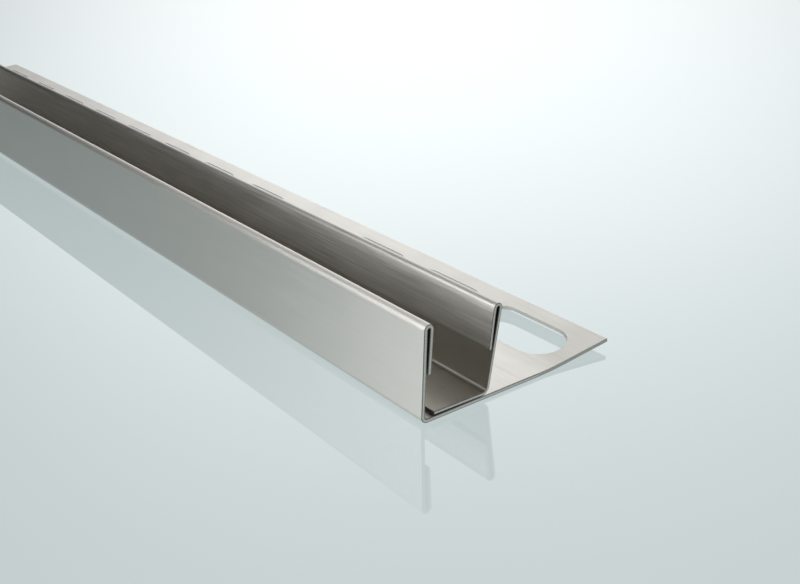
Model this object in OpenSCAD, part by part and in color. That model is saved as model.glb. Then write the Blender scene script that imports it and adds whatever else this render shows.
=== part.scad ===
// Sheet-metal U-channel edge profile with a wide slotted anchoring leg.
// Two bent sheets: a base sheet (left flange, floor and leg in one piece) and
// an angle sheet (foot and right flange) that lies on the floor of the base.
// Millimetres. X runs along the stock, Y across it, Z up.
// Origin: centre of the length and of the overall width, on the underside.

/* [Stock] */
// Length of the cut piece
length = 500; // [120:1:3000]
// Overall width, from the left flange's foot to the leg's outer edge
total_w = 75; // [70:0.5:110]

/* [Base sheet] */
// Thickness of the base sheet
base_t = 1.2; // [0.8:0.1:1.5]
// Height of the left flange over its hem
base_h = 30; // [26:0.5:45]
// Inside radius of the bend between floor and left flange
base_bend_r = 1.0; // [0.6:0.1:1.6]
// Inward lean of the left flange, degrees off upright
base_lean = 1.59; // [0:0.01:3]
// Width of the air gap in the left hem, at its fold
base_hem_gap = 0.95; // [0.5:0.05:1.5]
// How far the left hem closes towards its free edge, degrees
base_hem_close = 1.69; // [0:0.01:2]
// Length of the left hem's flat return
base_return = 13.4; // [8:0.1:18]

/* [Angle sheet] */
// Thickness of the angle sheet
angle_t = 1.0; // [0.8:0.1:1.2]
// Height of the right flange's top above the underside of the base
angle_h = 29.2; // [24:0.1:44]
// Distance of the right flange's outer corner from the left flange's
angle_y = 24.7; // [18:0.1:30]
// Gap between the left flange and the foot's free edge
foot_gap = 3.4; // [1.5:0.1:5]
// Inside radius of the bend between foot and right flange
angle_bend_r = 1.2; // [0.6:0.1:2]
// Outward lean of the right flange, degrees off upright
angle_lean = 9.08; // [0:0.01:12]
// Width of the air gap in the right hem, at its fold
angle_hem_gap = 1.0; // [0.5:0.05:1.5]
// How far the right hem closes towards its free edge, degrees
angle_hem_close = 3.03; // [0:0.01:3.2]
// Length of the right hem's flat return
angle_return = 12.6; // [8:0.1:16]

/* [Anchoring leg] */
// Distance of the crease from the left flange's outer corner
crease_y = 50.2; // [44:0.1:50.4]
// Upward tilt of the strip outside the crease, degrees
strip_tilt = 5.683; // [0:0.001:8]
// Inside radius of the crease, which is a wide, gentle bend
crease_r = 100; // [10:10:120]

/* [Slots] */
// Width of a slot
slot_w = 18; // [8:0.5:18]
// Length of a slot, end to end
slot_l = 37; // [20:1:38]
// Slot centre line, from the left flange's outer corner
slot_y = 59.7; // [59.7:0.1:62]
// Distance from one slot to the next
slot_pitch = 41; // [40:1:80]
// Distance of the first slot's centre from the near end
slot_first = 24.5; // [20:0.5:40]
// Position in the row that is left unpunched, counted from the near end (0 for none)
slot_skip = 4; // [0:1:8]

/* [Hidden] */
$fn = 96;

// outside radii of the bends
base_ro = base_bend_r + base_t;
angle_ro = angle_bend_r + angle_t;
base_hem_ro = base_hem_gap / 2 + base_t;
angle_hem_ro = angle_hem_gap / 2 + angle_t;

// straight run of each flange between its two bends, from its height
base_rise = base_h - base_hem_ro - base_ro;
base_run = (base_rise - (base_ro - base_hem_ro) * sin(base_lean)) / cos(base_lean);
angle_rise = angle_h - base_t - angle_hem_ro - angle_ro;
angle_run = (angle_rise + (angle_ro - angle_hem_ro) * sin(angle_lean)) / cos(angle_lean);

// the flat floor runs from the left bend to the crease's tangent point
crease_half = (crease_r + base_t) * tan(strip_tilt / 2);
floor_run = crease_y - base_ro - crease_half;
// the strip ends where its lower corner reaches the overall width
strip_run = (total_w - crease_y) / cos(strip_tilt) - crease_half;

// foot of the angle sheet, from its free edge to the right bend
foot_y = base_t + foot_gap;
angle_corner = angle_ro * (1 - sin(angle_lean)) / cos(angle_lean);
foot_run = angle_y - foot_y - angle_corner;

slot_count = floor((length - slot_first - slot_l / 2) / slot_pitch) + 1;

// Flat stretch of sheet; what follows it goes at its end
module run(l, t) {
    square([l, t]);
    translate([l, 0]) children();
}

// Bend towards the sheet's upper side through a degrees, up to 180; what follows it goes at its end
module turn(r, t, a) {
    big = 2 * (r + t);
    translate([0, r + t]) {
        intersection() {
            difference() {
                circle(r = r + t);
                circle(r = r);
            }
            translate([0, -big]) square([big, 2 * big]);
            rotate(a) translate([-big, -big]) square([big, 2 * big]);
        }
        rotate(a) translate([0, -(r + t)]) children();
    }
}

// A hem is bent in two strokes: a right angle, then the rest
module hem(r, t, close) {
    turn(r, t, 90) turn(r, t, 90 + close) children();
}

// Section of the base sheet, drawn with Y to the right and Z up
module base_section() {
    // floor, crease and outer strip of the leg
    translate([base_ro, 0])
        run(floor_run, base_t)
        turn(crease_r, base_t, strip_tilt)
        run(strip_run, base_t);
    // left flange and its inward hem
    translate([base_ro, 0]) mirror([1, 0])
        turn(base_bend_r, base_t, 90 + base_lean)
        run(base_run, base_t)
        hem(base_hem_gap / 2, base_t, base_hem_close)
        run(base_return, base_t);
}

// Section of the angle sheet
module angle_section() {
    translate([foot_y, base_t])
        run(foot_run, angle_t)
        turn(angle_bend_r, angle_t, 90 - angle_lean)
        run(angle_run, angle_t)
        hem(angle_hem_gap / 2, angle_t, angle_hem_close)
        run(angle_return, angle_t);
}

// A section swept along the stock's whole length
module stock() {
    translate([-length / 2, -total_w / 2, 0])
        rotate([90, 0, 90])
            linear_extrude(height = length) children();
}

// Punch for one oblong slot, lying along X
module slot_punch() {
    straight = (slot_l - slot_w) / 2;
    translate([0, 0, -5]) linear_extrude(height = 20) {
        square([2 * straight, slot_w], center = true);
        for (s = [-1, 1]) translate([s * straight, 0]) circle(d = slot_w);
    }
}

module base_profile() {
    color([0.78, 0.78, 0.75]) difference() {
        stock() base_section();
        for (i = [1 : slot_count]) if (i != slot_skip)
            translate([length / 2 - slot_first - (i - 1) * slot_pitch, slot_y - total_w / 2, 0])
                slot_punch();
    }
}

module angle_profile() {
    color([0.66, 0.65, 0.62]) stock() angle_section();
}

base_profile();
angle_profile();
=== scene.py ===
import math

import bpy
import numpy as np
from mathutils import Matrix, Vector


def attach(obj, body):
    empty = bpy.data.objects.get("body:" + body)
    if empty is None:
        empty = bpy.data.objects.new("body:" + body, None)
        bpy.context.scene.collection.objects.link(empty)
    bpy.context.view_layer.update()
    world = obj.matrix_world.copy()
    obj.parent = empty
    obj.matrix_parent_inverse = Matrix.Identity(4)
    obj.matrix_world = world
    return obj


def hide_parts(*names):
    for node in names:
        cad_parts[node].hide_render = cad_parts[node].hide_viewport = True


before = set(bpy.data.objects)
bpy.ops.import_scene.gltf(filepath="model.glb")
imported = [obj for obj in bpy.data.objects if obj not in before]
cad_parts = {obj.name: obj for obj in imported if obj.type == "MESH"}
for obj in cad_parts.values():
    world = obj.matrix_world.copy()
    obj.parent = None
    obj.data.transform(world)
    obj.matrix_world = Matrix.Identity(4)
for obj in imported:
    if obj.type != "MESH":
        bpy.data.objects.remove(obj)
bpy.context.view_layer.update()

MM = 0.001

# ------------------------------------------------------------------ sizes
# Millimetres, the same as the part's own source. Only the right bend differs: its inside
# radius there is 1.2, and it is drawn at 1.6 here, as the cut end shows it.
LENGTH, TOTAL_W = 500.0, 75.0
BASE_T, BASE_H, BASE_BEND_R, BASE_LEAN = 1.2, 30.0, 1.0, 1.59
BASE_HEM_GAP, BASE_HEM_CLOSE, BASE_RETURN = 0.95, 1.69, 13.4
ANGLE_T, ANGLE_H, ANGLE_Y, FOOT_GAP = 1.0, 29.2, 24.7, 3.4
ANGLE_BEND_R, ANGLE_LEAN = 1.6, 9.08
ANGLE_HEM_GAP, ANGLE_HEM_CLOSE, ANGLE_RETURN = 1.0, 3.03, 12.6
CREASE_Y, STRIP_TILT, CREASE_R = 50.2, 5.683, 100.0
SLOT_W, SLOT_L, SLOT_Y, SLOT_PITCH, SLOT_FIRST, SLOT_SKIP, SLOT_COUNT = 18.0, 37.0, 59.7, 41.0, 24.5, 4, 12

FOOT_SPRING = 0.85   # degrees that the foot's free edge springs up off the base
FOOT_RISE = 0.18     # how far the angle sheet stands off the base at its bend
HEM_BOW = (8.0, 15.0)  # the last degrees of the right hem's turn are taken at this wide radius
EDGE = 0.13          # radius on the cut ends and sheared edges
RIM = 0.28           # share of the sheet's thickness on each side of a cut end that is painted darker, as painted shade along its edges
SLOT_EDGE = 0.06     # radius on the punched edges
STEPS = 4            # rows across each of those radii


# ------------------------------------------------------------------ section
def walk(start, segments, t, heading=0.0):
    """A sheet's section from start, heading +Y turned by a few degrees, bending to its left.
    Returns lower points, unit normals from the lower to the upper face, arc length,
    and how hard the sheet is stretched there (1 on a hem, 0 where it is flat)."""
    p, h, u, hard = np.array(start, float), math.radians(heading), 0.0, 0.0

    def normal(a):
        return np.array([-math.sin(a), math.cos(a)])

    pts, nrm, arc, bent = [p.copy()], [normal(h)], [0.0], [0.0]
    for kind, size, *more in segments:
        if kind == "run":
            for f in more[0] if more else [1.0]:
                pts.append(p + size * f * np.array([math.cos(h), math.sin(h)]))
                nrm.append(normal(h))
                arc.append(u + size * f)
                bent.append(hard if f == 1.0 else 0.0)
            p, u, hard = pts[-1].copy(), arc[-1], 0.0
        else:
            angle, count = math.radians(more[0]), more[1]
            hem = 1.0 if more[0] > 100 else 0.0
            centre = p + (size + t) * normal(h)
            for k in range(1, count + 1):
                a = h + angle * k / count
                pts.append(centre - (size + t) * normal(a))
                nrm.append(normal(a))
                arc.append(u + (size + t / 2) * angle * k / count)
                bent.append(hem if hem else hard * (1 - k / count))
            h, u, p, hard = h + angle, arc[-1], pts[-1].copy(), hem
    return np.array(pts), np.array(nrm), np.array(arc), np.array(bent)


def edge_steps(r):
    """Distance from the edge, loss of thickness and turn of the normal on each row of a rounded edge."""
    a = np.linspace(0, math.pi / 2, STEPS + 1)
    return r * (1 - np.cos(a)), r * (1 - np.sin(a)), a


def end_fractions(length, r):
    """Stations along a run that ends in a free edge: near its start, its middle, then the rounded edge."""
    d, _, _ = edge_steps(r)
    return [0.6 / length, 0.5] + [float((length - x) / length) for x in d[::-1]]


def base_lines():
    t, a = BASE_T, math.radians(BASE_LEAN)
    ro, hem_ro = BASE_BEND_R + t, BASE_HEM_GAP / 2 + t
    rise = BASE_H - hem_ro - ro
    run = (rise - (ro - hem_ro) * math.sin(a)) / math.cos(a)
    half = (CREASE_R + t) * math.tan(math.radians(STRIP_TILT) / 2)
    floor = CREASE_Y - ro - half
    left = walk((-ro, 0), [("turn", BASE_BEND_R, 90 + BASE_LEAN, 20), ("run", run, [0.5, 1 - 0.6 / run, 1.0]),
                           ("turn", BASE_HEM_GAP / 2, 180 + BASE_HEM_CLOSE, 32),
                           ("run", BASE_RETURN, end_fractions(BASE_RETURN, EDGE))], t)
    right = walk((ro, 0), [("run", floor, [0.25, 0.5, 0.75, 1.0])], t)
    pts = np.vstack([left[0][::-1] * [-1, 1], right[0]])
    nrm = np.vstack([left[1][::-1] * [-1, 1], right[1]])
    arc = np.concatenate([-left[2][::-1], right[2]])
    return pts, nrm, arc - arc[0], np.concatenate([left[3][::-1], right[3]])


def angle_lines():
    t, a = ANGLE_T, math.radians(ANGLE_LEAN)
    ro, hem_ro = ANGLE_BEND_R + t, ANGLE_HEM_GAP / 2 + t
    rise = ANGLE_H - BASE_T - FOOT_RISE - hem_ro - ro
    run = (rise + (ro - hem_ro) * math.sin(a)) / math.cos(a)
    foot_y = BASE_T + FOOT_GAP
    foot = ANGLE_Y + FOOT_RISE * math.tan(a) - foot_y - ro * (1 - math.sin(a)) / math.cos(a)
    free = [1 - f for f in end_fractions(foot, EDGE)[:1:-1]]
    raised = BASE_T + FOOT_RISE + foot * math.sin(math.radians(FOOT_SPRING))
    bow, bow_r = HEM_BOW
    rest = ANGLE_RETURN - math.radians(bow) * (bow_r + t / 2)
    return walk((foot_y, raised), [("run", foot, [f for f in free if f > 0] + [0.25, 0.5, 0.75, 1.0]),
                                   ("turn", ANGLE_BEND_R, 90 - ANGLE_LEAN + FOOT_SPRING, 20),
                                   ("run", run, [0.5, 1 - 0.6 / run, 1.0]),
                                   ("turn", ANGLE_HEM_GAP / 2, 180 + ANGLE_HEM_CLOSE - bow, 32),
                                   ("turn", bow_r, bow, 10),
                                   ("run", rest, end_fractions(rest, EDGE))], t, -FOOT_SPRING)


# ------------------------------------------------------------------ mesh
class Skin:
    """Collects vertices with their normals and texture place, and quads with their material."""

    def __init__(self):
        self.co, self.no, self.uv, self.rim, self.bent, self.quads, self.mats = [], [], [], [], [], [], []

    def add(self, co, no, uv, rim=1.0, bent=0.0):
        first = sum(len(c) for c in self.co)
        self.co.append(np.asarray(co, float).reshape(-1, 3))
        self.no.append(np.asarray(no, float).reshape(-1, 3))
        self.uv.append(np.asarray(uv, float).reshape(-1, 2))
        self.rim.append(np.full(len(self.co[-1]), rim))
        self.bent.append(np.broadcast_to(bent, self.co[-1].shape[:1]))
        return first + np.arange(len(self.co[-1]))

    def lined(self, grid, mat, cut):
        """Quads over a grid whose first and last rows are a rounded end, which is part of the cut."""
        self.strip(grid[:STEPS + 1], cut)
        self.strip(grid[STEPS:-STEPS], mat)
        self.strip(grid[-STEPS - 1:], cut)

    def cut_face(self, a, b, mat):
        """A cut face between two rows of vertices, with rows between them that mark its rims, which are painted
        darker as painted shade.
        """
        co, no, uv = np.vstack(self.co), np.vstack(self.no), np.vstack(self.uv)
        rows = [a]
        for f in (RIM, 0.5, 1 - RIM):
            rows.append(self.add(*(v[a] * (1 - f) + v[b] * f for v in (co, no, uv)), 0.0))
        self.strip(np.stack(rows + [b]), mat)

    def strip(self, grid, mat):
        """Quads over a grid of vertex numbers."""
        a, b, c, d = grid[:-1, :-1], grid[1:, :-1], grid[1:, 1:], grid[:-1, 1:]
        q = np.stack([a, b, c, d], -1).reshape(-1, 4)
        self.quads.append(q)
        self.mats.append(np.full(len(q), mat))

    def build(self, name, materials):
        co, no, uv = np.vstack(self.co), np.vstack(self.no), np.vstack(self.uv)
        rim, bent = np.concatenate(self.rim), np.concatenate(self.bent)
        quads, mats = np.vstack(self.quads), np.concatenate(self.mats)
        # rows that meet are made separately, so their shared vertices are joined by place
        key = np.round(co * 2e4).astype(np.int64)
        _, first, back = np.unique(key, axis=0, return_index=True, return_inverse=True)
        back = back.reshape(-1)
        total = np.zeros((len(first), 3))
        np.add.at(total, back, no)
        total /= np.maximum(np.linalg.norm(total, axis=1, keepdims=True), 1e-9)
        quads = back[quads]
        # every quad is wound to face the way its vertices' normals do
        place = co[first]
        across = np.cross(place[quads[:, 2]] - place[quads[:, 0]], place[quads[:, 3]] - place[quads[:, 1]])
        wrong = (across * total[quads].sum(1)).sum(1) < 0
        quads[wrong] = quads[wrong][:, ::-1]
        mesh = bpy.data.meshes.new(name)
        faces = []
        for q in quads.tolist():
            face = [v for i, v in enumerate(q) if v != q[i - 1]]
            faces.append(face)
        keep = [i for i, f in enumerate(faces) if len(set(f)) >= 3]
        mesh.from_pydata((co[first] * MM).tolist(), [], [faces[i] for i in keep])
        mesh.polygons.foreach_set("material_index", mats[keep].astype(np.int32))
        mesh.polygons.foreach_set("use_smooth", np.ones(len(keep), bool))
        layer = mesh.uv_layers.new(name="grain")
        loop_v = np.zeros(len(mesh.loops), np.int32)
        mesh.loops.foreach_get("vertex_index", loop_v)
        layer.data.foreach_set("uv", (uv[first][loop_v] * MM).astype(np.float32).ravel())
        for label, value in (("rim", rim), ("bent", bent)):
            mark = mesh.attributes.new(label, "FLOAT", "POINT")
            mark.data.foreach_set("value", value[first].astype(np.float32))
        for m in materials:
            mesh.materials.append(m)
        mesh.update()
        mesh.normals_split_custom_set_from_vertices(total.tolist())
        obj = bpy.data.objects.new(name, mesh)
        bpy.context.scene.collection.objects.link(obj)
        return obj


def slot_cell_steps():
    """Stations of one slot's cell from its centre, and the share of the cell's width on its end rows."""
    straight, half, count = (SLOT_L - SLOT_W) / 2, SLOT_PITCH / 2, 8
    side = straight + (half - straight) * np.linspace(0, 1, count + 1)
    xs = np.concatenate([-side[::-1], [-straight / 2, 0, straight / 2], side])
    return np.unique(np.round(xs, 6)), np.linspace(0, 1, count + 1)


def x_stations(with_cells):
    d, _, _ = edge_steps(EDGE)
    ends = np.concatenate([d, [2.0]])
    if with_cells:
        xs, _ = slot_cell_steps()
        inner = np.concatenate([SLOT_FIRST + i * SLOT_PITCH + xs for i in range(SLOT_COUNT)])
    else:
        inner = np.linspace(10, LENGTH - 10, 49)
    x = np.concatenate([ends, inner, LENGTH - ends])
    return np.unique(np.round(x, 6))


def thin(dist):
    """Loss of thickness and turn of the normal at a distance from a free edge."""
    d, loss, a = edge_steps(EDGE)
    return np.interp(dist, d, loss), np.interp(dist, d, a)


def place(skin, x, pts, nrm, t, upper, lose, turn, edge_dir, arc, bent):
    """One face's grid of vertices: stations along X by points across the section."""
    nx, ns = len(x), len(pts)
    w = (t - lose) if upper else lose
    yz = pts[None] + w[..., None] * nrm[None]
    co = np.concatenate([np.broadcast_to((LENGTH / 2 - x)[:, None, None], (nx, ns, 1)), yz], -1)
    co = co - [0, TOTAL_W / 2, 0]
    face = np.concatenate([np.zeros((nx, ns, 1)), np.broadcast_to(nrm[None] * (1 if upper else -1), (nx, ns, 2))], -1)
    no = face * np.sin(turn)[..., None] + edge_dir * np.cos(turn)[..., None]
    no /= np.maximum(np.linalg.norm(no, axis=-1, keepdims=True), 1e-9)
    uv = np.stack([np.broadcast_to(arc[None], (nx, ns)), np.broadcast_to(x[:, None], (nx, ns))], -1)
    return skin.add(co, no, uv, bent=np.broadcast_to(bent[None], (nx, ns)).ravel()).reshape(nx, ns)


def edge_field(x, dist_u, along):
    """Loss, turn and outward direction over a grid, from the ends and from the free edges across the section."""
    nx, ns = len(x), len(dist_u)
    dx = np.minimum(x, LENGTH - x)
    lx, ax = thin(dx)
    lu, au = thin(dist_u)
    loss = np.maximum(lx[:, None], lu[None])
    turn = np.minimum(ax[:, None], au[None])
    ends = np.zeros((nx, ns, 3))
    ends[..., 0] = (np.where(x < LENGTH / 2, 1, -1) * np.cos(ax))[:, None]
    sides = np.zeros((nx, ns, 3))
    sides[..., 1:] = (along * np.cos(au)[:, None])[None]
    out = ends + sides
    out /= np.maximum(np.linalg.norm(out, axis=-1, keepdims=True), 1e-9)
    return loss, turn, out


def sheet_grid(skin, x, pts, nrm, arc, bent, t, free_start, free_end, upper=0, lower=0, cut=1, sheared=2):
    """A bent sheet along the whole length, with rounded ends and free edges. Returns its two grids."""
    dist = np.full(len(pts), 1e3)
    tangent = np.stack([nrm[:, 1], -nrm[:, 0]], -1)
    along = np.zeros((len(pts), 2))
    if free_start:
        near = arc - arc[0] < EDGE * 1.001
        dist[near] = (arc - arc[0])[near]
        along[near] = -tangent[near]
    if free_end:
        near = arc[-1] - arc < EDGE * 1.001
        dist[near] = (arc[-1] - arc)[near]
        along[near] = tangent[near]
    loss, turn, out = edge_field(x, dist, along)
    up = place(skin, x, pts, nrm, t, True, loss, turn, out, arc, bent)
    low = place(skin, x, pts, nrm, t, False, loss, turn, out, arc, bent)
    skin.lined(up, upper, cut)
    skin.lined(low, lower, cut)
    # cut ends
    for i in (0, -1):
        skin.cut_face(up[i], low[i], cut)
    # sheared edges
    if free_start:
        skin.cut_face(up[:, 0], low[:, 0], sheared)
    if free_end:
        skin.cut_face(up[:, -1], low[:, -1], sheared)
    return up, low


def strip_face(skin, upper, start_y, start_arc, sheet=0, cut=3):
    """The slotted strip's one face, as cells around the slots. Returns the rings at the slots' edges."""
    a = math.radians(STRIP_TILT)
    n = np.array([-math.sin(a), math.cos(a)])
    bend_y = CREASE_Y - (CREASE_R + BASE_T) * math.tan(a / 2)
    d, loss, ang = edge_steps(EDGE)
    k = d[::-1]
    # lower line of the strip runs from the crease; w is taken along the sheet's normal
    run_end = TOTAL_W
    outer_low = run_end - k * math.cos(a)
    outer_y = outer_low + ((BASE_T - loss[::-1]) if upper else loss[::-1]) * n[0]
    last_y = outer_y[0]

    def surface(x, y, lose, turn, out):
        """Points of this face over plan places, with the sheet's normal turned towards out."""
        w = (BASE_T - lose) if upper else lose
        flat = (y - CREASE_Y) * math.tan(a) + w / math.cos(a)
        # on the gentle crease the sheet is part of a cylinder, tangent to the floor and to the strip
        reach = CREASE_R + BASE_T - w
        turned = np.clip((y - bend_y) / reach, 0, math.sin(a))
        bent = CREASE_R + BASE_T - reach * np.sqrt(1 - turned ** 2)
        z = np.where(turned < math.sin(a), bent, flat)
        co = np.stack([LENGTH / 2 - x, y - TOTAL_W / 2, z], -1)
        face = np.zeros(co.shape)
        face[..., 1] = -turned * (1 if upper else -1)
        face[..., 2] = np.sqrt(1 - turned ** 2) * (1 if upper else -1)
        no = face * np.sin(turn)[..., None] + out * np.cos(turn)[..., None]
        no /= np.maximum(np.linalg.norm(no, axis=-1, keepdims=True), 1e-9)
        arc = start_arc + (y - start_y) / math.cos(a)
        return skin.add(co, no, np.stack([arc, x], -1))

    xs_all = x_stations(True)
    xs, shares = slot_cell_steps()
    half, straight, r = SLOT_PITCH / 2, (SLOT_L - SLOT_W) / 2, SLOT_W / 2
    count = len(shares) - 1
    end_y = np.concatenate([start_y + (SLOT_Y - start_y) * shares, SLOT_Y + (last_y - SLOT_Y) * shares[1:]])
    rings = {}

    def plain(x_list):
        x, y = np.meshgrid(x_list, end_y, indexing="ij")
        dx = np.minimum(x, LENGTH - x)
        lx, ax = thin(dx)
        out = np.zeros(x.shape + (3,))
        out[..., 0] = np.where(x < LENGTH / 2, 1, -1)
        v = surface(x, y, lx, ax, out).reshape(x.shape)
        rounded = dx[:, 0] < EDGE * 1.001
        if rounded[0]:
            skin.strip(v[:STEPS + 1], cut)
            skin.strip(v[STEPS:], sheet)
        elif rounded[-1]:
            skin.strip(v[-STEPS - 1:], cut)
            skin.strip(v[:-STEPS], sheet)
        else:
            skin.strip(v, sheet)
        return v

    first, last = SLOT_FIRST - half, SLOT_FIRST + (SLOT_COUNT - 1) * SLOT_PITCH + half
    near = plain(xs_all[xs_all <= first + 1e-6])
    far = plain(xs_all[xs_all >= last - 1e-6])
    for i in range(1, SLOT_COUNT + 1):
        cx = SLOT_FIRST + (i - 1) * SLOT_PITCH
        if i == SLOT_SKIP:
            plain(cx + xs)
            continue
        # slot outline and the matching places on the cell's border, once round
        line, border, out = [], [], []

        def quarter(sx, sy, edge_y):
            pts = []
            for f in (0.0, 0.5):
                pts.append(((straight * f, r), (straight * f, "side"), (0, 1)))
            for m in range(2 * count + 1):
                th = math.pi / 2 * (1 - m / (2 * count))
                px, py = straight + r * math.cos(th), r * math.sin(th)
                if m <= count:
                    where = (straight + (half - straight) * m / count, "side")
                else:
                    where = (half, 1 - (m - count) / count)
                pts.append(((px, py), where, (math.cos(th), math.sin(th))))
            result = []
            for (px, py), (bx, share), (ox, oy) in pts:
                by = edge_y if share == "side" else SLOT_Y + (edge_y - SLOT_Y) * share
                result.append(((sx * px, SLOT_Y + sy * py), (sx * bx, by), (sx * ox, sy * oy)))
            return result

        loop = quarter(1, 1, last_y)
        loop += quarter(1, -1, start_y)[::-1][1:]
        loop += quarter(-1, -1, start_y)[1:]
        loop += quarter(-1, 1, last_y)[::-1][1:]
        for s, b, o in loop:
            line.append(s); border.append(b); out.append(o)
        line, border, out = np.array(line), np.array(border), np.array(out)
        sd, sl, sa = edge_steps(SLOT_EDGE)
        rows, turns, loses = [], [], []
        for dist, lose, ang_k in zip(sd, sl, sa):
            rows.append(line + out * dist)
            turns.append(ang_k)
            loses.append(lose)
        ring = rows[-1]
        for f in (0.12, 0.3, 0.5, 0.75, 1.0):
            rows.append(ring + (border - ring) * f)
            turns.append(math.pi / 2)
            loses.append(0.0)
        rows = np.array(rows)
        inward = np.zeros((len(rows), len(line), 3))
        inward[..., 0] = out[:, 0]
        inward[..., 1] = -out[:, 1]
        lose = np.broadcast_to(np.array(loses)[:, None], rows.shape[:2])
        turn = np.broadcast_to(np.array(turns)[:, None], rows.shape[:2])
        v = surface(cx + rows[..., 0], rows[..., 1], lose, turn, inward).reshape(rows.shape[:2])
        skin.strip(v, sheet)
        rings[i] = v[0]
    # rounded outer edge
    dist_u = k
    x, idx = np.meshgrid(xs_all, np.arange(len(k)), indexing="ij")
    dx = np.minimum(x, LENGTH - x)
    lx, ax = thin(dx)
    lu, au = loss[::-1][idx], ang[::-1][idx]
    lose, turn = np.maximum(lx, lu), np.minimum(ax, au)
    outv = np.zeros(x.shape + (3,))
    outv[..., 0] = np.where(x < LENGTH / 2, 1, -1) * np.cos(ax)
    outv[..., 1] = math.cos(a) * np.cos(au)
    outv[..., 2] = math.sin(a) * np.cos(au)
    outv /= np.maximum(np.linalg.norm(outv, axis=-1, keepdims=True), 1e-9)
    w = (BASE_T - lose) if upper else lose
    yz = np.stack([outer_y[idx], (outer_y[idx] - CREASE_Y) * math.tan(a) + w / math.cos(a)], -1)
    co = np.concatenate([(LENGTH / 2 - x)[..., None], yz - [TOTAL_W / 2, 0]], -1)
    face = np.zeros(co.shape)
    face[..., 1:] = n * (1 if upper else -1)
    no = face * np.sin(turn)[..., None] + outv * np.cos(turn)[..., None]
    no /= np.maximum(np.linalg.norm(no, axis=-1, keepdims=True), 1e-9)
    uv = np.stack([start_arc + (yz[..., 0] - start_y) / math.cos(a), x], -1)
    edge = skin.add(co, no, uv).reshape(x.shape)
    skin.lined(edge, sheet, cut)
    end_near = np.concatenate([near[0], edge[0, 1:]])
    end_far = np.concatenate([far[-1], edge[-1, 1:]])
    return rings, edge[:, -1], end_near, end_far


def make_base(materials):
    skin = Skin()
    x = x_stations(True)
    pts, nrm, arc, bent = base_lines()
    sheet_grid(skin, x, pts, nrm, arc, bent, BASE_T, True, False)
    # where the flat floor hands over to the gentle crease and the strip
    y_up = (pts[-1] + BASE_T * nrm[-1])[0]
    y_low = pts[-1][0]
    rings_u, edge_u, near_u, far_u = strip_face(skin, True, y_up, arc[-1])
    rings_l, edge_l, near_l, far_l = strip_face(skin, False, y_low, arc[-1])
    skin.cut_face(near_u, near_l, 3)
    skin.cut_face(far_u, far_l, 3)
    skin.cut_face(edge_u, edge_l, 2)
    for i in rings_u:
        skin.strip(np.stack([rings_u[i], rings_l[i]]), 4)
    return skin.build("base_sheet_shown", materials)


def make_angle(materials):
    skin = Skin()
    x = x_stations(False)
    pts, nrm, arc, bent = angle_lines()
    # the sheet is brushed on its lower side, which the hem turns to the front, and plain on the other
    sheet_grid(skin, x, pts, nrm, arc, bent, ANGLE_T, True, True, upper=3)
    return skin.build("angle_sheet_shown", materials)


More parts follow.
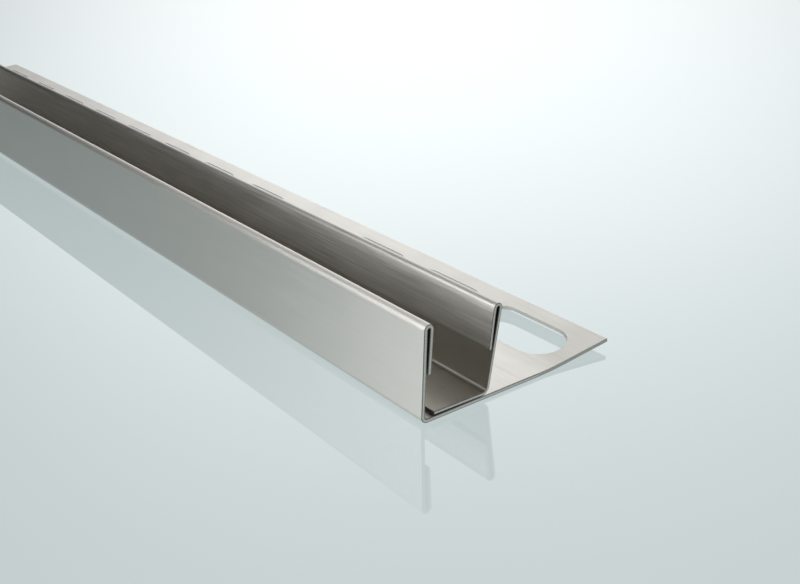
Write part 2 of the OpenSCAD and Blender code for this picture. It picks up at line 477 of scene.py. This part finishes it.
# ------------------------------------------------------------------ materials
def steel(name, colour, roughness, anisotropy, speckle, on_hem=0.0):
    """Stainless sheet: grain and long scratches along the length in its colour, gloss and relief.
    Where a hem stretches the sheet it is duller."""
    m = bpy.data.materials.new(name)
    m.use_nodes = True
    nt = m.node_tree
    nt.nodes.clear()
    out = nt.nodes.new("ShaderNodeOutputMaterial")
    bsdf = nt.nodes.new("ShaderNodeBsdfPrincipled")
    nt.links.new(bsdf.outputs[0], out.inputs[0])
    bsdf.inputs["Metallic"].default_value = 1.0
    bsdf.inputs["Anisotropic"].default_value = anisotropy
    place_node = nt.nodes.new("ShaderNodeTexCoord")

    def noise(scale, detail, stretch):
        mapping = nt.nodes.new("ShaderNodeMapping")
        mapping.inputs["Scale"].default_value = stretch
        nt.links.new(place_node.outputs["Object"], mapping.inputs["Vector"])
        tex = nt.nodes.new("ShaderNodeTexNoise")
        tex.inputs["Scale"].default_value = scale
        tex.inputs["Detail"].default_value = detail
        nt.links.new(mapping.outputs[0], tex.inputs["Vector"])
        return tex.outputs["Fac"]

    def spread(value, low, high):
        mr = nt.nodes.new("ShaderNodeMapRange")
        mr.inputs["From Min"].default_value = 0.3
        mr.inputs["From Max"].default_value = 0.7
        mr.inputs["To Min"].default_value = low
        mr.inputs["To Max"].default_value = high
        nt.links.new(value, mr.inputs["Value"])
        return mr.outputs[0]

    fine = noise(1.0, 2.0, (45.0, 1900.0, 1900.0))
    broad = noise(1.0, 3.0, (20.0, 1200.0, 1200.0))
    cloud = noise(60.0, 2.0, (1, 1, 1))

    def mixed(a, b, share):
        """The sum of two values, the second one by its share of the whole."""
        first = nt.nodes.new("ShaderNodeMath")
        first.operation = "MULTIPLY"
        nt.links.new(a, first.inputs[0])
        first.inputs[1].default_value = 1 - share
        total = nt.nodes.new("ShaderNodeMath")
        total.operation = "MULTIPLY_ADD"
        nt.links.new(b, total.inputs[0])
        total.inputs[1].default_value = share
        nt.links.new(first.outputs[0], total.inputs[2])
        return total.outputs[0]

    grain = mixed(fine, broad, 0.35)

    ramp = nt.nodes.new("ShaderNodeMix")
    ramp.data_type = "RGBA"
    ramp.inputs["A"].default_value = (*[c * (1 - speckle) for c in colour], 1)
    ramp.inputs["B"].default_value = (*[min(1.0, c * (1 + speckle)) for c in colour], 1)
    nt.links.new(spread(grain, 0.0, 1.0), ramp.inputs["Factor"])
    nt.links.new(ramp.outputs["Result"], bsdf.inputs["Base Color"])

    rough = nt.nodes.new("ShaderNodeMath")
    rough.operation = "ADD"
    nt.links.new(spread(grain, roughness - 0.04, roughness + 0.04), rough.inputs[0])
    nt.links.new(spread(cloud, -0.015, 0.015), rough.inputs[1])
    mark = nt.nodes.new("ShaderNodeAttribute")
    mark.attribute_name = "bent"
    dull = nt.nodes.new("ShaderNodeMath")
    dull.operation = "MULTIPLY_ADD"
    nt.links.new(mark.outputs["Fac"], dull.inputs[0])
    dull.inputs[1].default_value = on_hem
    nt.links.new(rough.outputs[0], dull.inputs[2])
    nt.links.new(dull.outputs[0], bsdf.inputs["Roughness"])

    bump = nt.nodes.new("ShaderNodeBump")
    bump.inputs["Strength"].default_value = 0.25
    bump.inputs["Distance"].default_value = 0.00003
    nt.links.new(fine, bump.inputs["Height"])
    nt.links.new(bump.outputs[0], bsdf.inputs["Normal"])

    tangent = nt.nodes.new("ShaderNodeTangent")
    tangent.direction_type = "UV_MAP"
    tangent.uv_map = "grain"
    nt.links.new(tangent.outputs[0], bsdf.inputs["Tangent"])
    return m


def cut_metal(name, colour, roughness, scale, contrast, rim=None):
    """A sawn or punched edge: dull, with fine torn speckle, and on a sawn one darker rims that are painted shade."""
    m = bpy.data.materials.new(name)
    m.use_nodes = True
    nt = m.node_tree
    nt.nodes.clear()
    out = nt.nodes.new("ShaderNodeOutputMaterial")
    bsdf = nt.nodes.new("ShaderNodeBsdfPrincipled")
    nt.links.new(bsdf.outputs[0], out.inputs[0])
    bsdf.inputs["Metallic"].default_value = 1.0
    place_node = nt.nodes.new("ShaderNodeTexCoord")
    tex = nt.nodes.new("ShaderNodeTexNoise")
    tex.inputs["Scale"].default_value = scale
    tex.inputs["Detail"].default_value = 4.0
    nt.links.new(place_node.outputs["Object"], tex.inputs["Vector"])
    ramp = nt.nodes.new("ShaderNodeMix")
    ramp.data_type = "RGBA"
    ramp.inputs["A"].default_value = (*[c * (1 - contrast) for c in colour], 1)
    ramp.inputs["B"].default_value = (*[min(1.0, c * (1 + contrast)) for c in colour], 1)
    mr = nt.nodes.new("ShaderNodeMapRange")
    mr.inputs["From Min"].default_value = 0.35
    mr.inputs["From Max"].default_value = 0.65
    nt.links.new(tex.outputs["Fac"], mr.inputs["Value"])
    nt.links.new(mr.outputs[0], ramp.inputs["Factor"])
    shade = ramp.outputs["Result"]
    # painted shade: the rims of a cut face take the darker rim colour, fading to the core between them
    if rim:
        mark = nt.nodes.new("ShaderNodeAttribute")
        mark.attribute_name = "rim"
        edge = nt.nodes.new("ShaderNodeMix")
        edge.data_type = "RGBA"
        edge.inputs["B"].default_value = (*rim, 1)
        nt.links.new(mark.outputs["Fac"], edge.inputs["Factor"])
        nt.links.new(shade, edge.inputs["A"])
        shade = edge.outputs["Result"]
    nt.links.new(shade, bsdf.inputs["Base Color"])
    rr = nt.nodes.new("ShaderNodeMapRange")
    rr.inputs["From Min"].default_value = 0.3
    rr.inputs["From Max"].default_value = 0.7
    rr.inputs["To Min"].default_value = roughness - 0.08
    rr.inputs["To Max"].default_value = roughness + 0.08
    nt.links.new(tex.outputs["Fac"], rr.inputs["Value"])
    nt.links.new(rr.outputs[0], bsdf.inputs["Roughness"])
    bump = nt.nodes.new("ShaderNodeBump")
    bump.inputs["Strength"].default_value = 0.5
    bump.inputs["Distance"].default_value = 0.00005
    nt.links.new(tex.outputs["Fac"], bump.inputs["Height"])
    nt.links.new(bump.outputs[0], bsdf.inputs["Normal"])
    return m


base_steel = steel("base_sheet_steel", (0.592, 0.58, 0.547), 0.38, 0.7, 0.03, 0.13)
angle_steel = steel("angle_sheet_steel", (0.51, 0.50, 0.47), 0.38, 0.7, 0.16, 0.06)
angle_plain = steel("angle_sheet_plain_side", (0.50, 0.48, 0.44), 0.32, 0.6, 0.02)
# the sawn end's darker rim colour is painted shade along its edges
sawn = cut_metal("sawn_end", (0.66, 0.643, 0.60), 0.55, 3200.0, 0.25, (0.21, 0.205, 0.19))
# painted shade: a darker copy of the sawn end, with paler rims, for the slotted leg's low cut ends
sawn_leg_painted_shade = cut_metal("sawn_leg_end_painted_shade", (0.50, 0.49, 0.455), 0.55, 3200.0, 0.18, (0.40, 0.392, 0.365))
sheared = cut_metal("sheared_edge", (0.50, 0.49, 0.46), 0.6, 1800.0, 0.12)
# painted light: a lighter copy of the sheared edge for the slot walls
punched_painted_light = cut_metal("punched_slot_wall_painted_light", (0.70, 0.69, 0.65), 0.6, 1800.0, 0.12)
# painted shade: a near-black copy of the sheared edge for the angle sheet's free edges, which lie in shadow
shade_painted_edge = cut_metal("sheared_edge_painted_shade", (0.16, 0.155, 0.145), 0.6, 1800.0, 0.12)

base_sheet = make_base([base_steel, sawn, sheared, sawn_leg_painted_shade, punched_painted_light])
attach(base_sheet, "root")
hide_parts("base_profile")

angle_sheet = make_angle([angle_steel, sawn, shade_painted_edge, angle_plain])
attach(angle_sheet, "root")
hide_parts("angle_profile")


# ------------------------------------------------------------------ floor
def floor_material():
    """Pale floor: a dull, faintly glowing base under a clear coat with a green tint."""
    m = bpy.data.materials.new("pale_floor")
    m.use_nodes = True
    bsdf = m.node_tree.nodes["Principled BSDF"]
    bsdf.inputs["Base Color"].default_value = (0.07, 0.0735, 0.0735, 1)
    bsdf.inputs["Roughness"].default_value = 0.5
    bsdf.inputs["Specular IOR Level"].default_value = 0.0
    bsdf.inputs["Coat Weight"].default_value = 1.0
    bsdf.inputs["Coat Roughness"].default_value = 0.02
    bsdf.inputs["Coat IOR"].default_value = 1.5
    bsdf.inputs["Coat Tint"].default_value = (0.86, 0.94, 0.95, 1)
    bsdf.inputs["Emission Color"].default_value = (0.985, 1, 1, 1)
    bsdf.inputs["Emission Strength"].default_value = 0.635
    return m


bpy.ops.mesh.primitive_grid_add(x_subdivisions=2, y_subdivisions=2, size=30)
floor = bpy.context.object
floor.name = "floor"
floor.location = (0, 0, -0.0001)
floor.data.materials.append(floor_material())


# ------------------------------------------------------------------ light
def aim(obj, target):
    obj.rotation_mode = "QUATERNION"
    obj.rotation_quaternion = (Vector(target) - obj.location).to_track_quat("-Z", "Y")


def soft_light(name, azimuth, elevation, distance, size, power, colour=(1, 1, 1), target=(0.2, -0.02, 0.01)):
    """A soft box at a compass angle from +X towards +Y and a height angle, facing the piece."""
    data = bpy.data.lights.new(name, "AREA")
    data.shape = "RECTANGLE"
    data.size, data.size_y = size
    data.energy = power
    data.color = colour
    obj = bpy.data.objects.new(name, data)
    a, e = math.radians(azimuth), math.radians(elevation)
    obj.location = Vector(target) + distance * Vector((math.cos(a) * math.cos(e), math.sin(a) * math.cos(e), math.sin(e)))
    aim(obj, target)
    obj.light_linking.receiver_collection = piece_only
    obj.light_linking.blocker_collection = piece_only
    obj.visible_camera = False
    bpy.context.scene.collection.objects.link(obj)
    return obj


# the soft boxes light the piece alone, so that the floor stays plain, and the floor doesn't stop them
piece_only = bpy.data.collections.new("piece_only")
piece_only.objects.link(floor)
piece_only.collection_objects[0].light_linking.link_state = "EXCLUDE"

soft_light("left_box", 225, 28, 0.7, (0.5, 0.3), 0.40)
soft_light("front_left_box", 240, 24, 0.45, (0.35, 0.21), 0.56)
soft_light("front_box", 255, 24, 0.45, (0.35, 0.21), 0.78)
# the share of them that a glossy floor returns to the piece from below
soft_light("front_left_return", 240, -24, 0.45, (0.35, 0.21), 0.10, target=(0.2, -0.02, -0.01))
soft_light("front_return", 255, -24, 0.45, (0.35, 0.21), 0.138, target=(0.2, -0.02, -0.01))

# Distant diffusers: compass angle, height angle, sharpness and strength of each.
AMBIENT = 0.012
DIFFUSERS = [
    (152, 2, 30, 0.17), (157, 17, 30, 0.85), (138, 3, 30, 0.23), (141, 17, 30, 1.09),
    (148, 29, 30, 0.82), (199, 38, 30, 0.07), (122, 3, 30, 0.25), (124, 19, 30, 1.06),
    (130, 35, 30, 0.52), (218, 48, 30, 0.05), (106, 25, 24, 0.19), (163, 40, 24, 0.10),
    (295, 25, 10, 1.0), (345, 30, 10, 0.7), (32, 35, 10, 0.85), (75, 28, 12, 0.6), (0, 88, 12, 1.0),
]


def studio_world():
    world = bpy.data.worlds.new("studio")
    world.use_nodes = True
    nt = world.node_tree
    nt.nodes.clear()
    out = nt.nodes.new("ShaderNodeOutputWorld")
    back = nt.nodes.new("ShaderNodeBackground")
    nt.links.new(back.outputs[0], out.inputs["Surface"])
    back.inputs["Color"].default_value = (1, 1, 1, 1)
    place_node = nt.nodes.new("ShaderNodeTexCoord")
    way = nt.nodes.new("ShaderNodeVectorMath")
    way.operation = "NORMALIZE"
    nt.links.new(place_node.outputs["Generated"], way.inputs[0])

    def maths(kind, a, b=None):
        node = nt.nodes.new("ShaderNodeMath")
        node.operation = kind
        for i, v in enumerate((a, b)):
            if v is None:
                continue
            if isinstance(v, (int, float)):
                node.inputs[i].default_value = v
            else:
                nt.links.new(v, node.inputs[i])
        return node.outputs[0]

    total = None
    for azimuth, elevation, sharp, strength in DIFFUSERS:
        a, e = math.radians(azimuth), math.radians(elevation)
        dot = nt.nodes.new("ShaderNodeVectorMath")
        dot.operation = "DOT_PRODUCT"
        nt.links.new(way.outputs[0], dot.inputs[0])
        dot.inputs[1].default_value = (math.cos(a) * math.cos(e), math.sin(a) * math.cos(e), math.sin(e))
        lobe = maths("EXPONENT", maths("MULTIPLY", maths("SUBTRACT", dot.outputs["Value"], 1.0), float(sharp)))
        lobe = maths("MULTIPLY", lobe, float(strength))
        total = lobe if total is None else maths("ADD", total, lobe)
    nt.links.new(maths("ADD", total, AMBIENT), back.inputs["Strength"])
    return world


bpy.context.scene.world = studio_world()

# ------------------------------------------------------------------ camera
# Placed by solving the view from the piece's own edges; no shift.
FOCAL_PX = 1101.44
PITCH, YAW = math.radians(24.007), math.radians(38.256)
camera_data = bpy.data.cameras.new("camera")
camera_data.sensor_fit = "HORIZONTAL"
camera_data.sensor_width = 36.0
camera_data.lens = FOCAL_PX / 800 * 36.0
camera_data.clip_start, camera_data.clip_end = 0.01, 50
camera = bpy.data.objects.new("camera", camera_data)
bpy.context.scene.collection.objects.link(camera)
forward = Vector((-math.cos(YAW) * math.cos(PITCH), math.sin(YAW) * math.cos(PITCH), -math.sin(PITCH)))
right = forward.cross(Vector((0, 0, 1))).normalized()
up = right.cross(forward).normalized()
spot = Vector((452.016, -204.304, 156.794)) * MM
camera.matrix_world = Matrix((
    (right.x, up.x, -forward.x, spot.x),
    (right.y, up.y, -forward.y, spot.y),
    (right.z, up.z, -forward.z, spot.z),
    (0, 0, 0, 1),
))
bpy.context.scene.camera = camera

bpy.context.scene.view_settings.view_transform = "Standard"
